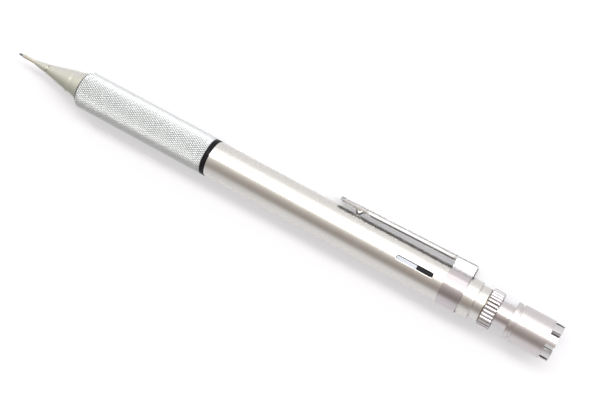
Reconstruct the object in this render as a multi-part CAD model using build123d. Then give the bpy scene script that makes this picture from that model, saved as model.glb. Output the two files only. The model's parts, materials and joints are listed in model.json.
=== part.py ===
from build123d import *
import os
from math import asin, atan2, degrees, hypot

# A drafting lead holder for 0.5 mm lead, with a dial that regulates how much lead each push feeds.
# Millimetres. X runs along the axis from the mouth of the lead sleeve towards the cap, +Z is up.
# The holder lies on a table, and its clip leans down until the clip's corner touches the table.

# ---- Outer radii ----
LEAD_R = 0.28
SLEEVE_R = 0.44
TIP_FRONT_R = 0.62
TIP_REAR_R = 1.33
CONE_FRONT_R = 1.40
CONE_REAR_R = 3.30
FLARE_R = 3.42
CONE_COLLAR_R = 4.15
GRIP_R = 4.87
JOINT_RING_R = 4.80
BARREL_R = 4.70
BAND_R = 4.93
NECK_R = 4.18
DIAL_R = 4.80
PUSH_ROD_R = 3.06
CAP_FLANGE_R = 4.64
CAP_GROOVE_R = 4.28
CAP_R = 4.74
CROWN_R = 4.55

# ---- Stations along X ----
LEAD_OUT = 1.15
LEAD_LENGTH = 60.0
TIP_X = 4.1
CONE_X = 8.4
FLARE_X = 15.9
CONE_COLLAR_X = 16.6
GRIP_X = 19.6
JOINT_RING_X = 57.7
BARREL_X = 58.8
WINDOW_X = 110.75
WINDOW_END_X = 120.4
INDICATOR_SPLIT_X = 116.07
BAND_X = 123.1
BARREL_END_X = 128.0
BAND_END_X = 128.3
REAR_COLLAR_X = 128.45
NECK_X = 131.3
DIAL_X = 133.85
DIAL_END_X = 136.9
CAP_X = 140.3
CAP_GROOVE_X = 141.4
CAP_BODY_X = 141.9
CROWN_X = 149.7
TAIL_X = 151.85

# ---- Travels, which the inner lengths leave room for ----
CARRIER_TRAVEL = 1.25
PUSH_TRAVEL = 2.0
FEED_TRAVEL = 0.6
STOP_GAP = 0.1

# ---- Edges ----
SHARP_EDGE = 0.05
EDGE = 0.10
SOFT_EDGE = 0.15
GRIP_FRONT_CHAMFER = 0.60
GRIP_FRONT_STEP = 0.55
GRIP_REAR_CHAMFER = 0.25
DIAL_CHAMFER = 0.45

# ---- Fits and walls ----
RUNNING_GAP = 0.05
SLEEVE_BORE_R = 0.31
LEAD_BORE_R = 0.34
RETAINER_BORE_R = 0.295
CHUCK_BORE_R = 0.30
BARREL_BORE_R = 4.05
LINER_R = 3.95
LINER_BORE_R = 3.30
CARRIER_R = 3.20
CARRIER_BORE_R = 2.40
CARRIER_REAR_R = 3.60
INDICATOR_R = 3.95
SCREW_R = 3.15
SCREW_BORE_R = 2.50
DIAL_TUBE_R = 3.40
DIAL_TUBE_BORE_R = 3.13
LEAD_TUBE_R = 1.45
LEAD_TUBE_BORE_R = 1.15
ERASER_R = 2.30
FERRULE_R = 2.42
HOLDER_BORE_R = 2.45
NEEDLE_R = 0.20

# ---- Pocket clip ----
CLIP_TIP_X = 92.1
CLIP_TOP_R = 7.25
CLIP_TIP_TOP_R = 6.65
CLIP_HALF_WIDTH = 1.9
CLIP_SHEET = 0.35
CLIP_FLANGE = 1.05
CLIP_CORNER_R = 0.40
CLIP_TIP_BULGE = 0.45
CLIP_BOW = 0.06
DIMPLE_X = 97.2
DIMPLE_BASE_R = 1.50
DIMPLE_WAIST_R = 1.22
DIMPLE_NOSE_R = 0.55
DIMPLE_SHOULDER_R = 5.93
DIMPLE_TOUCH_R = BARREL_R + 0.01
CLIP_ROOT_FOOT_R = 4.0

# ---- Repeats ----
FLUTES = 30
FLUTE_PHASE = 4.8
FLUTE_DEPTH = 0.28
FLUTE_HALF_WIDTH = 0.17
CROWN_TEETH = 8
CROWN_SLOT_WIDTH = 1.14
CROWN_SLOT_PHASE = 23.0
CHUCK_JAWS = 3
CHUCK_SLIT = 0.22
WINDOW_WIDTH = 1.2
WINDOW_CORNER_R = 0.25

# The holder's own directions round its axis, in degrees from +Y towards +Z.
clip_reach = hypot(CLIP_TOP_R - CLIP_CORNER_R, CLIP_HALF_WIDTH - CLIP_CORNER_R)
clip_corner_angle = atan2(CLIP_HALF_WIDTH - CLIP_CORNER_R, CLIP_TOP_R - CLIP_CORNER_R)
CLIP_ANGLE = -degrees(asin((BAND_R - CLIP_CORNER_R) / clip_reach) - clip_corner_angle)
WINDOW_ANGLE = CLIP_ANGLE + 90


def turned(*outline):
    """A solid turned about the X axis from an outline of (x, radius) points."""
    return revolve(make_face(Polyline(*outline, close=True)), Axis.X)


def tube(x_start, x_end, outer, bore, front_chamfer=0.0, rear_chamfer=0.0):
    """A plain tube about the X axis, with chamfers on its outer edges."""
    outline = [(x_start, bore), (x_start, outer - front_chamfer)]
    if front_chamfer:
        outline.append((x_start + front_chamfer, outer))
    if rear_chamfer:
        outline.append((x_end - rear_chamfer, outer))
    outline += [(x_end, outer - rear_chamfer), (x_end, bore)]
    return turned(*outline)


def rod(x_start, x_end, radius):
    """A solid cylinder about the X axis."""
    return turned((x_start, 0), (x_start, radius), (x_end, radius), (x_end, 0))


def at_angle(shape, angle):
    """Turns a shape about the X axis from +Z to the given direction, in degrees from +Y towards +Z."""
    return Rot(X=angle - 90) * shape


def block(x_start, x_end, width, z_start, z_end):
    """A box along X, centred on the XZ plane."""
    centre = ((x_start + x_end) / 2, 0, (z_start + z_end) / 2)
    return Pos(*centre) * Box(x_end - x_start, width, z_end - z_start)


# ---- Fixed parts of the holder ----

SLEEVE_SHOULDER_X = 4.5
SLEEVE_SHOULDER_R = 0.61
SLEEVE_BORE_END_X = 7.6
TIP_SPIGOT_R = 0.95
TIP_END_X = 11.4
RETAINER_R = 1.15
RETAINER_END_X = 13.1
CHAMBER_R = 1.62
RING_STOP_X = 15.2
RING_CHAMBER_R = 2.35
CONE_REAR_BORE_X = 18.0
CONE_REAR_BORE_R = 2.75
CONE_END_X = 27.6


def make_guide_sleeve():
    """Thin steel tube that guides the lead along a ruling edge. Its thicker rear is pressed into the tip."""
    return turned(
        (0, SLEEVE_BORE_R),
        (0, SLEEVE_R - SHARP_EDGE),
        (SHARP_EDGE, SLEEVE_R),
        (SLEEVE_SHOULDER_X, SLEEVE_R),
        (SLEEVE_SHOULDER_X, SLEEVE_SHOULDER_R),
        (TIP_END_X, SLEEVE_SHOULDER_R),
        (TIP_END_X, LEAD_BORE_R),
        (SLEEVE_BORE_END_X, LEAD_BORE_R),
        (SLEEVE_BORE_END_X, SLEEVE_BORE_R),
    )


def make_front_tip():
    """Small cone that holds the sleeve, with a threaded spigot behind it."""
    return turned(
        (TIP_X, SLEEVE_R),
        (TIP_X, TIP_FRONT_R - SHARP_EDGE),
        (TIP_X + SHARP_EDGE, TIP_FRONT_R),
        (CONE_X - SOFT_EDGE, TIP_REAR_R),
        (CONE_X, TIP_REAR_R - SOFT_EDGE),
        (CONE_X, TIP_SPIGOT_R),
        (TIP_END_X, TIP_SPIGOT_R),
        (TIP_END_X, SLEEVE_SHOULDER_R),
        (SLEEVE_SHOULDER_X, SLEEVE_SHOULDER_R),
        (SLEEVE_SHOULDER_X, SLEEVE_R),
    )


def make_lead_retainer():
    """Rubber ring that keeps the lead from sliding back while the chuck is open."""
    return tube(TIP_END_X, RETAINER_END_X, RETAINER_R, RETAINER_BORE_R)


def make_nose_cone():
    """Turned cone that screws into the grip and holds the tip, the retainer and the ring's stop."""
    return turned(
        (CONE_X, TIP_SPIGOT_R),
        (CONE_X, CONE_FRONT_R - SOFT_EDGE),
        (CONE_X + SOFT_EDGE, CONE_FRONT_R),
        (FLARE_X, CONE_REAR_R),
        (CONE_COLLAR_X, FLARE_R),
        (GRIP_X, CONE_COLLAR_R),
        (GRIP_X, LINER_BORE_R),
        (CONE_END_X, LINER_BORE_R),
        (CONE_END_X, CONE_REAR_BORE_R),
        (CONE_REAR_BORE_X, CONE_REAR_BORE_R),
        (CONE_REAR_BORE_X, RING_CHAMBER_R),
        (RING_STOP_X, RING_CHAMBER_R),
        (RING_STOP_X, CHAMBER_R),
        (RETAINER_END_X, CHAMBER_R),
        (RETAINER_END_X, RETAINER_R),
        (TIP_END_X, RETAINER_R),
        (TIP_END_X, TIP_SPIGOT_R),
    )


LINER_X = 19.9
LINER_END_X = 66.0
KEY_X = 63.0
KEY_R = 0.40
KEY_END_R = 2.60
KEY_SLOT_WIDTH = 0.90


def make_guide_key():
    """Radial pin that keeps the carrier from turning with the dial."""
    pin = Cylinder(KEY_R, LINER_R - KEY_END_R, align=(Align.CENTER, Align.CENTER, Align.MIN))
    flush = rod(KEY_X - 1, KEY_X + 1, LINER_R)
    return at_angle(Pos(KEY_X, 0, KEY_END_R) * pin & flush, WINDOW_ANGLE)


def make_grip_liner():
    """Brass tube inside the grip that joins the cone to the barrel and adds weight in front."""
    liner = tube(LINER_X, LINER_END_X, LINER_R, LINER_BORE_R)
    return liner - at_angle(Pos(KEY_X, 0, LINER_R) * Cylinder(KEY_R, 3), WINDOW_ANGLE)


def make_knurled_grip():
    """Aluminium grip sleeve. Its cylinder is the crest of the diamond knurl."""
    return turned(
        (GRIP_X, LINER_R),
        (GRIP_X, GRIP_R - GRIP_FRONT_STEP),
        (GRIP_X + GRIP_FRONT_CHAMFER, GRIP_R),
        (JOINT_RING_X - GRIP_REAR_CHAMFER, GRIP_R),
        (JOINT_RING_X, GRIP_R - GRIP_REAR_CHAMFER),
        (JOINT_RING_X, LINER_R),
    )


def make_joint_ring():
    """Black ring between the grip and the barrel."""
    return tube(JOINT_RING_X, BARREL_X, JOINT_RING_R, LINER_R, EDGE, EDGE)


def make_barrel():
    """Barrel tube with the window slot for the feed indicator."""
    shell = turned(
        (BARREL_X, LINER_R),
        (BARREL_X, BARREL_R - EDGE),
        (BARREL_X + EDGE, BARREL_R),
        (BARREL_END_X, BARREL_R),
        (BARREL_END_X, BARREL_BORE_R),
        (LINER_END_X, BARREL_BORE_R),
        (LINER_END_X, LINER_R),
    )
    slot = block(WINDOW_X, WINDOW_END_X, WINDOW_WIDTH, BARREL_BORE_R - 1, BARREL_R + 1)
    slot = fillet(slot.edges().filter_by(Axis.Z), WINDOW_CORNER_R)
    return shell - at_angle(slot, WINDOW_ANGLE)


COLLAR_SPIGOT_X = 125.0
COLLAR_REGISTER_R = 4.50
COLLAR_COUNTERBORE_X = 129.3
COLLAR_COUNTERBORE_R = 3.85
COLLAR_BORE_R = DIAL_TUBE_R + RUNNING_GAP


def make_rear_collar():
    """Plug that closes the barrel, keeps the clip on and carries the dial's tube."""
    return turned(
        (COLLAR_SPIGOT_X, COLLAR_BORE_R),
        (COLLAR_SPIGOT_X, BARREL_BORE_R),
        (BARREL_END_X, BARREL_BORE_R),
        (BARREL_END_X, COLLAR_REGISTER_R),
        (REAR_COLLAR_X, COLLAR_REGISTER_R),
        (REAR_COLLAR_X, BARREL_R - SHARP_EDGE),
        (REAR_COLLAR_X + SHARP_EDGE, BARREL_R),
        (NECK_X - SOFT_EDGE, BARREL_R),
        (NECK_X, BARREL_R - SOFT_EDGE),
        (NECK_X, COLLAR_COUNTERBORE_R),
        (COLLAR_COUNTERBORE_X, COLLAR_COUNTERBORE_R),
        (COLLAR_COUNTERBORE_X, COLLAR_BORE_R),
    )


def make_neck_sleeve():
    """Bush pressed into the collar, on whose end face the dial turns."""
    return turned(
        (COLLAR_COUNTERBORE_X, COLLAR_BORE_R),
        (COLLAR_COUNTERBORE_X, COLLAR_COUNTERBORE_R),
        (NECK_X, COLLAR_COUNTERBORE_R),
        (NECK_X, NECK_R),
        (DIAL_X - STOP_GAP - EDGE, NECK_R),
        (DIAL_X - STOP_GAP, NECK_R - EDGE),
        (DIAL_X - STOP_GAP, COLLAR_BORE_R),
    )


# ---- Pocket clip, drawn with its arm towards +Z and then turned to its own direction ----


def arm_solid(inset, foot, rear):
    """The arm's outer form, set in from its surface by inset and reaching foot below its top."""
    tip = CLIP_TIP_X + inset
    half = CLIP_HALF_WIDTH - inset
    tip_top = CLIP_TIP_TOP_R - inset
    rear_top = CLIP_TOP_R - inset
    crest = ((tip + rear) / 2, (tip_top + rear_top) / 2 + CLIP_BOW)
    top_line = ThreePointArc((tip, tip_top), crest, (rear, rear_top))
    lower_line = Polyline((rear, rear_top), (rear, rear_top - foot), (tip, tip_top - foot), (tip, tip_top))
    side_view = Plane.XZ * make_face(top_line + lower_line)
    shoulder = tip + CLIP_TIP_BULGE
    nose_line = ThreePointArc((shoulder, -half), (tip, 0), (shoulder, half))
    edge_line = Polyline((shoulder, half), (rear, half), (rear, -half), (shoulder, -half))
    plan_view = make_face(nose_line + edge_line)
    return extrude(side_view, half + 1, both=True) & extrude(plan_view, CLIP_TOP_R + 1)


def arm_with_round_corners():
    """The arm's outer form with the bend radius along its sides and tip."""
    arm = arm_solid(0, CLIP_FLANGE, BAND_END_X)
    top_face = arm.faces().sort_by(Axis.Z)[-1]
    bent_edges = [edge for edge in top_face.edges() if edge.center().X < BAND_END_X - 0.01]
    return fillet(bent_edges, CLIP_CORNER_R)


def dimple(*outline):
    """A form turned about the dimple's own upright axis from (radius, height) points."""
    face = Plane.XZ * make_face(Polyline(*outline, close=True))
    return Pos(DIMPLE_X, 0, 0) * revolve(face, Axis.Z)


def make_pocket_clip():
    """One stamped piece: a band round the barrel, a boxed root and a channel arm with a pressed dimple."""
    band_middle_r = (BARREL_R + BAND_R) / 2
    root = block(BAND_X, BAND_END_X, 2 * CLIP_HALF_WIDTH, CLIP_ROOT_FOOT_R, CLIP_TOP_R - CLIP_FLANGE + EDGE)
    hollow = arm_solid(CLIP_SHEET, CLIP_TOP_R - CLIP_SHEET - CLIP_ROOT_FOOT_R, BAND_END_X + 1)
    shell = arm_with_round_corners() + root - hollow
    inside = DIMPLE_TOUCH_R + CLIP_SHEET
    open_top = CLIP_TIP_TOP_R + CLIP_SHEET
    boss = dimple(
        (0, DIMPLE_TOUCH_R),
        (DIMPLE_NOSE_R * 0.6, DIMPLE_TOUCH_R + 0.02),
        (DIMPLE_NOSE_R, DIMPLE_TOUCH_R + 0.21),
        (DIMPLE_WAIST_R, DIMPLE_SHOULDER_R),
        (DIMPLE_BASE_R, CLIP_TIP_TOP_R - CLIP_SHEET / 2),
        (0, CLIP_TIP_TOP_R - CLIP_SHEET / 2),
    )
    dent = dimple(
        (0, inside),
        (DIMPLE_NOSE_R * 0.4, inside + 0.02),
        (DIMPLE_NOSE_R * 0.8, inside + 0.24),
        (DIMPLE_WAIST_R - CLIP_SHEET, DIMPLE_SHOULDER_R + 0.2),
        (DIMPLE_BASE_R - CLIP_SHEET, CLIP_TIP_TOP_R),
        (DIMPLE_BASE_R - CLIP_SHEET / 2, open_top),
        (0, open_top),
    )
    band = tube(BAND_X, BAND_END_X, BAND_R, BARREL_R, SHARP_EDGE, SHARP_EDGE)
    under_band = rod(BAND_X - 1, BAND_END_X + 1, band_middle_r)
    clip = shell + boss - dent - under_band + band
    return at_angle(clip, CLIP_ANGLE)


# ---- Regulator dial ----

SCREW_X = 112.0
SCREW_FLANGE_X = 124.1
SCREW_FLANGE_END_X = 124.9
SCREW_FLANGE_R = 3.75
SCREW_WIDE_BORE_X = 131.5
SCREW_END_X = 135.5
SEAL_X = 127.0
SEAL_WIRE_R = 0.24
SEAL_GROOVE_R = 2.95


def make_regulator_dial():
    """Fluted ring that the fingers turn."""
    ring = turned(
        (DIAL_X, DIAL_TUBE_R),
        (DIAL_X, DIAL_R - DIAL_CHAMFER),
        (DIAL_X + DIAL_CHAMFER, DIAL_R),
        (DIAL_END_X - DIAL_CHAMFER, DIAL_R),
        (DIAL_END_X, DIAL_R - DIAL_CHAMFER),
        (DIAL_END_X, PUSH_ROD_R + 2 * RUNNING_GAP),
        (SCREW_END_X, PUSH_ROD_R + 2 * RUNNING_GAP),
        (SCREW_END_X, DIAL_TUBE_R),
    )
    notch_face = make_face(
        Polyline(
            (0, DIAL_R - FLUTE_DEPTH),
            (FLUTE_HALF_WIDTH, DIAL_R + SHARP_EDGE),
            (-FLUTE_HALF_WIDTH, DIAL_R + SHARP_EDGE),
            close=True,
        )
    )
    notch = Pos(DIAL_X - 1, 0, 0) * extrude(Plane.YZ * notch_face, DIAL_END_X - DIAL_X + 2)
    first = CLIP_ANGLE + FLUTE_PHASE
    notches = [at_angle(notch, first + flute * 360 / FLUTES) for flute in range(FLUTES)]
    return ring - notches


def make_regulator_screw():
    """Tube pressed into the dial. Its front part is the screw that moves the carrier."""
    groove = SEAL_WIRE_R + RUNNING_GAP
    return turned(
        (SCREW_X, SCREW_BORE_R),
        (SCREW_X, SCREW_R),
        (SCREW_FLANGE_X, SCREW_R),
        (SCREW_FLANGE_X, SCREW_FLANGE_R),
        (SCREW_FLANGE_END_X, SCREW_FLANGE_R),
        (SCREW_FLANGE_END_X, DIAL_TUBE_R),
        (SEAL_X - groove, DIAL_TUBE_R),
        (SEAL_X - groove, SEAL_GROOVE_R),
        (SEAL_X + groove, SEAL_GROOVE_R),
        (SEAL_X + groove, DIAL_TUBE_R),
        (SCREW_END_X, DIAL_TUBE_R),
        (SCREW_END_X, DIAL_TUBE_BORE_R),
        (SCREW_WIDE_BORE_X, DIAL_TUBE_BORE_R),
        (SCREW_WIDE_BORE_X, SCREW_BORE_R),
    )


def make_dial_friction_ring():
    """Rubber ring in the tube's groove that holds the dial at its setting."""
    centre = SEAL_GROOVE_R + SEAL_WIRE_R
    return Pos(SEAL_X, 0, 0) * Rot(Y=90) * Torus(centre, SEAL_WIRE_R)


# ---- Carrier, which the screw moves to set the feed ----

SLEEVE_RING_X = 19.2
SPRING_X = 24.0
CLUTCH_SLEEVE_NOSE_R = 2.20
CLUTCH_SLEEVE_R = 2.65
CLUTCH_SLEEVE_BORE_R = 1.95
CHUCK_GUIDE_BORE_R = 1.12
CARRIER_X = 47.5
CARRIER_LAP = 4.5
CARRIER_FLANGE_X = 107.3
INDICATOR_X = 108.5
CARRIER_NUT_X = 109.5
CARRIER_END_X = 122.4


def make_clutch_sleeve():
    """Brass housing of the chuck and its spring, screwed into the front of the carrier."""
    return turned(
        (SLEEVE_RING_X, CHUCK_GUIDE_BORE_R),
        (SLEEVE_RING_X, CLUTCH_SLEEVE_NOSE_R),
        (SPRING_X, CLUTCH_SLEEVE_NOSE_R),
        (SPRING_X, CLUTCH_SLEEVE_R),
        (CARRIER_X, CLUTCH_SLEEVE_R),
        (CARRIER_X, CARRIER_BORE_R),
        (CARRIER_X + CARRIER_LAP, CARRIER_BORE_R),
        (CARRIER_X + CARRIER_LAP, CLUTCH_SLEEVE_BORE_R),
        (SPRING_X, CLUTCH_SLEEVE_BORE_R),
        (SPRING_X, CHUCK_GUIDE_BORE_R),
    )


def make_regulator_carrier():
    """Long tube with the nut for the dial's screw, a seat for the indicator and a slot for the key."""
    nut_bore = SCREW_R + RUNNING_GAP
    body = turned(
        (CARRIER_X, CARRIER_BORE_R),
        (CARRIER_X, CARRIER_R),
        (CARRIER_FLANGE_X, CARRIER_R),
        (CARRIER_FLANGE_X, INDICATOR_R),
        (INDICATOR_X, INDICATOR_R),
        (INDICATOR_X, CARRIER_REAR_R),
        (CARRIER_END_X, CARRIER_REAR_R),
        (CARRIER_END_X, nut_bore),
        (CARRIER_NUT_X, nut_bore),
        (CARRIER_NUT_X, CARRIER_BORE_R),
    )
    half_slot = KEY_R + CARRIER_TRAVEL + STOP_GAP
    slot = block(KEY_X - half_slot, KEY_X + half_slot, KEY_SLOT_WIDTH, CARRIER_BORE_R - 1, CARRIER_R + 1)
    return body - at_angle(slot, WINDOW_ANGLE)


def make_indicator_front():
    """White half of the indicator, seen through the front of the window."""
    return tube(INDICATOR_X, INDICATOR_SPLIT_X, INDICATOR_R, CARRIER_REAR_R)


def make_indicator_rear():
    """Black half of the indicator, seen through the rear of the window."""
    return tube(INDICATOR_SPLIT_X, CARRIER_END_X, INDICATOR_R, CARRIER_REAR_R)


# ---- Plunger, which the cap pushes ----

CHUCK_X = RETAINER_END_X + CARRIER_TRAVEL + PUSH_TRAVEL + STOP_GAP
CHUCK_HEAD_X = CHUCK_X + 0.5
CHUCK_HEAD_R = 1.45
CHUCK_STEM_X = 19.2
CHUCK_STEM_R = 1.07
CHUCK_SLIT_END_X = 27.0
CHUCK_END_X = 34.0
CHUCK_REAR_BORE_R = 0.50
CHUCK_REAR_BORE_X = 21.2
CONNECTOR_X = 31.5
CONNECTOR_END_X = 38.0
CONNECTOR_R = 1.85
CONNECTOR_BORE_R = 0.60
LEAD_TUBE_X = 35.5
LEAD_TUBE_END_X = 133.0
ROD_FRONT_X = 124.0
ROD_FRONT_R = 2.35
ROD_SHOULDER_X = 134.95
ROD_END_X = 147.0
FERRULE_X = 138.0
FERRULE_END_X = 143.5
FERRULE_DISC_END_X = 138.5
ERASER_END_X = 148.6
NEEDLE_X = 124.5
NEEDLE_END_X = 139.5
SPRING_MEAN_R = 1.52
SPRING_WIRE_R = 0.16
SPRING_TURNS = 9
SPRING_END_GAP = 0.02


def chuck_cone_radius(x):
    """Radius of the chuck's jaw cone at a station along X."""
    share = (x - CHUCK_HEAD_X) / (CHUCK_STEM_X - CHUCK_HEAD_X)
    return CHUCK_HEAD_R + share * (CHUCK_STEM_R - CHUCK_HEAD_R)


def make_chuck():
    """Brass chuck, slit into jaws that grip the lead while the clutch ring holds them shut."""
    body = turned(
        (CHUCK_X, CHUCK_BORE_R),
        (CHUCK_X, CHUCK_HEAD_R - SOFT_EDGE),
        (CHUCK_HEAD_X, CHUCK_HEAD_R),
        (CHUCK_STEM_X, CHUCK_STEM_R),
        (CHUCK_END_X, CHUCK_STEM_R),
        (CHUCK_END_X, CHUCK_REAR_BORE_R),
        (CHUCK_REAR_BORE_X, CHUCK_REAR_BORE_R),
        (CHUCK_REAR_BORE_X, CHUCK_BORE_R),
    )
    slit = block(CHUCK_X - 1, CHUCK_SLIT_END_X, CHUCK_SLIT, CHUCK_BORE_R / 2, CHUCK_HEAD_R + 1)
    return body - [at_angle(slit, 90 + jaw * 360 / CHUCK_JAWS) for jaw in range(CHUCK_JAWS)]


def make_chuck_connector():
    """Bush that joins the chuck to the lead tube and takes the spring's push."""
    return turned(
        (CONNECTOR_X, CHUCK_STEM_R),
        (CONNECTOR_X, CONNECTOR_R),
        (CONNECTOR_END_X, CONNECTOR_R),
        (CONNECTOR_END_X, LEAD_TUBE_R),
        (LEAD_TUBE_X, LEAD_TUBE_R),
        (LEAD_TUBE_X, CONNECTOR_BORE_R),
        (CHUCK_END_X, CONNECTOR_BORE_R),
        (CHUCK_END_X, CHUCK_STEM_R),
    )


def make_push_spring():
    """Compression spring between the clutch sleeve's shoulder and the connector."""
    room = SPRING_END_GAP + SPRING_WIRE_R
    length = CONNECTOR_X - SPRING_X - 2 * room
    centreline = Helix(pitch=length / SPRING_TURNS, height=length, radius=SPRING_MEAN_R)
    section = Plane(origin=centreline @ 0, z_dir=centreline % 0) * Circle(SPRING_WIRE_R)
    return Pos(SPRING_X + room, 0, 0) * Rot(Y=90) * sweep(section, centreline)


def make_lead_tube():
    """Tube that stores the leads and carries the push from the cap to the chuck."""
    return tube(LEAD_TUBE_X, LEAD_TUBE_END_X, LEAD_TUBE_R, LEAD_TUBE_BORE_R)


def make_push_rod():
    """Rod that carries the cap and holds the eraser. The lead tube is pressed into its front."""
    return turned(
        (ROD_FRONT_X, LEAD_TUBE_R),
        (ROD_FRONT_X, ROD_FRONT_R),
        (ROD_SHOULDER_X, ROD_FRONT_R),
        (ROD_SHOULDER_X, PUSH_ROD_R - EDGE),
        (ROD_SHOULDER_X + EDGE, PUSH_ROD_R),
        (ROD_END_X, PUSH_ROD_R),
        (ROD_END_X, HOLDER_BORE_R),
        (FERRULE_X, HOLDER_BORE_R),
        (FERRULE_X, LEAD_TUBE_BORE_R),
        (LEAD_TUBE_END_X, LEAD_TUBE_BORE_R),
        (LEAD_TUBE_END_X, LEAD_TUBE_R),
    )


# ---- Clutch ring, and the lead that moves with it ----

RING_X = RING_STOP_X + CARRIER_TRAVEL + FEED_TRAVEL + STOP_GAP
RING_LENGTH = 2.0
RING_END_X = RING_X + RING_LENGTH
RING_R = 1.95
RING_GAP = 0.03


def make_clutch_ring():
    """Brass ring that holds the jaws shut until it meets the stop in the nose cone."""
    return turned(
        (RING_X, chuck_cone_radius(RING_X) + RING_GAP),
        (RING_X, RING_R - EDGE),
        (RING_X + EDGE, RING_R),
        (RING_END_X, RING_R),
        (RING_END_X, chuck_cone_radius(RING_END_X) + RING_GAP),
    )


def make_lead():
    """Graphite lead, out by a writing length."""
    return turned(
        (-LEAD_OUT, 0),
        (-LEAD_OUT, LEAD_R - SHARP_EDGE),
        (-LEAD_OUT + SHARP_EDGE, LEAD_R),
        (LEAD_LENGTH - LEAD_OUT, LEAD_R),
        (LEAD_LENGTH - LEAD_OUT, 0),
    )


# ---- Cap ----

CAP_BORE_R = PUSH_ROD_R + 0.03
PLUG_X = 147.4
PLUG_R = 3.60
PLUG_BORE_R = 2.60
CROWN_FLOOR_X = 149.4
PLUG_FLOOR_X = 149.0
CROWN_RECESS_R = 3.10


def make_cap_body():
    """Push cap with its flange and groove, which slides off the push rod."""
    return turned(
        (CAP_X, CAP_BORE_R),
        (CAP_X, CAP_FLANGE_R - EDGE),
        (CAP_X + EDGE, CAP_FLANGE_R),
        (CAP_GROOVE_X, CAP_FLANGE_R),
        (CAP_GROOVE_X, CAP_GROOVE_R),
        (CAP_BODY_X, CAP_GROOVE_R),
        (CAP_BODY_X, CAP_R - EDGE),
        (CAP_BODY_X + EDGE, CAP_R),
        (CROWN_X - EDGE, CAP_R),
        (CROWN_X, CAP_R - EDGE),
        (CROWN_X, PLUG_R),
        (PLUG_X, PLUG_R),
        (PLUG_X, CAP_BORE_R),
    )


def make_cap_crown():
    """Plug that closes the cap, with a ring of castellations round a recess."""
    plug = turned(
        (PLUG_X, PLUG_BORE_R),
        (PLUG_X, PLUG_R),
        (CROWN_X, PLUG_R),
        (CROWN_X, CROWN_R),
        (TAIL_X - EDGE, CROWN_R),
        (TAIL_X, CROWN_R - EDGE),
        (TAIL_X, CROWN_RECESS_R),
        (CROWN_FLOOR_X, CROWN_RECESS_R),
        (CROWN_FLOOR_X, 0),
        (PLUG_FLOOR_X, 0),
        (PLUG_FLOOR_X, PLUG_BORE_R),
    )
    slot = block(CROWN_X, TAIL_X + 1, CROWN_SLOT_WIDTH, CROWN_RECESS_R - 1, CROWN_R + 1)
    first = CLIP_ANGLE + CROWN_SLOT_PHASE
    return plug - [at_angle(slot, first + tooth * 360 / CROWN_TEETH) for tooth in range(CROWN_TEETH)]


# ---- Eraser ----


def make_eraser():
    """White eraser that stands out of the push rod under the cap."""
    blank = rod(FERRULE_DISC_END_X, ERASER_END_X, ERASER_R)
    return blank - rod(FERRULE_DISC_END_X - 1, NEEDLE_END_X, NEEDLE_R)


def make_eraser_ferrule():
    """Thin metal cup round the eraser's front end."""
    return turned(
        (FERRULE_X, NEEDLE_R),
        (FERRULE_X, FERRULE_R),
        (FERRULE_END_X, FERRULE_R),
        (FERRULE_END_X, ERASER_R),
        (FERRULE_DISC_END_X, ERASER_R),
        (FERRULE_DISC_END_X, NEEDLE_R),
    )


def make_cleaning_needle():
    """Wire fixed in the ferrule, for pushing broken lead out of the sleeve."""
    return rod(NEEDLE_X, NEEDLE_END_X, NEEDLE_R)


MAKERS = {
    "guide_sleeve": make_guide_sleeve,
    "front_tip": make_front_tip,
    "lead_retainer": make_lead_retainer,
    "nose_cone": make_nose_cone,
    "grip_liner": make_grip_liner,
    "guide_key": make_guide_key,
    "knurled_grip": make_knurled_grip,
    "joint_ring": make_joint_ring,
    "barrel": make_barrel,
    "pocket_clip": make_pocket_clip,
    "rear_collar": make_rear_collar,
    "neck_sleeve": make_neck_sleeve,
    "regulator_dial": make_regulator_dial,
    "regulator_screw": make_regulator_screw,
    "dial_friction_ring": make_dial_friction_ring,
    "clutch_sleeve": make_clutch_sleeve,
    "regulator_carrier": make_regulator_carrier,
    "indicator_front": make_indicator_front,
    "indicator_rear": make_indicator_rear,
    "push_spring": make_push_spring,
    "chuck": make_chuck,
    "chuck_connector": make_chuck_connector,
    "lead_tube": make_lead_tube,
    "push_rod": make_push_rod,
    "clutch_ring": make_clutch_ring,
    "lead": make_lead,
    "cap_body": make_cap_body,
    "cap_crown": make_cap_crown,
    "eraser": make_eraser,
    "eraser_ferrule": make_eraser_ferrule,
    "cleaning_needle": make_cleaning_needle,
}

os.makedirs("parts", exist_ok=True)
for node, make in MAKERS.items():
    shape = make()
    shape.label = node
    export_step(shape, f"parts/{node}.step")

print(f"clip direction {CLIP_ANGLE:.2f} degrees from +Y towards +Z")
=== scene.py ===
import json
from math import asin, atan2, cos, pi, radians, sin, sqrt

import bpy
from mathutils import Matrix, Vector


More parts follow.
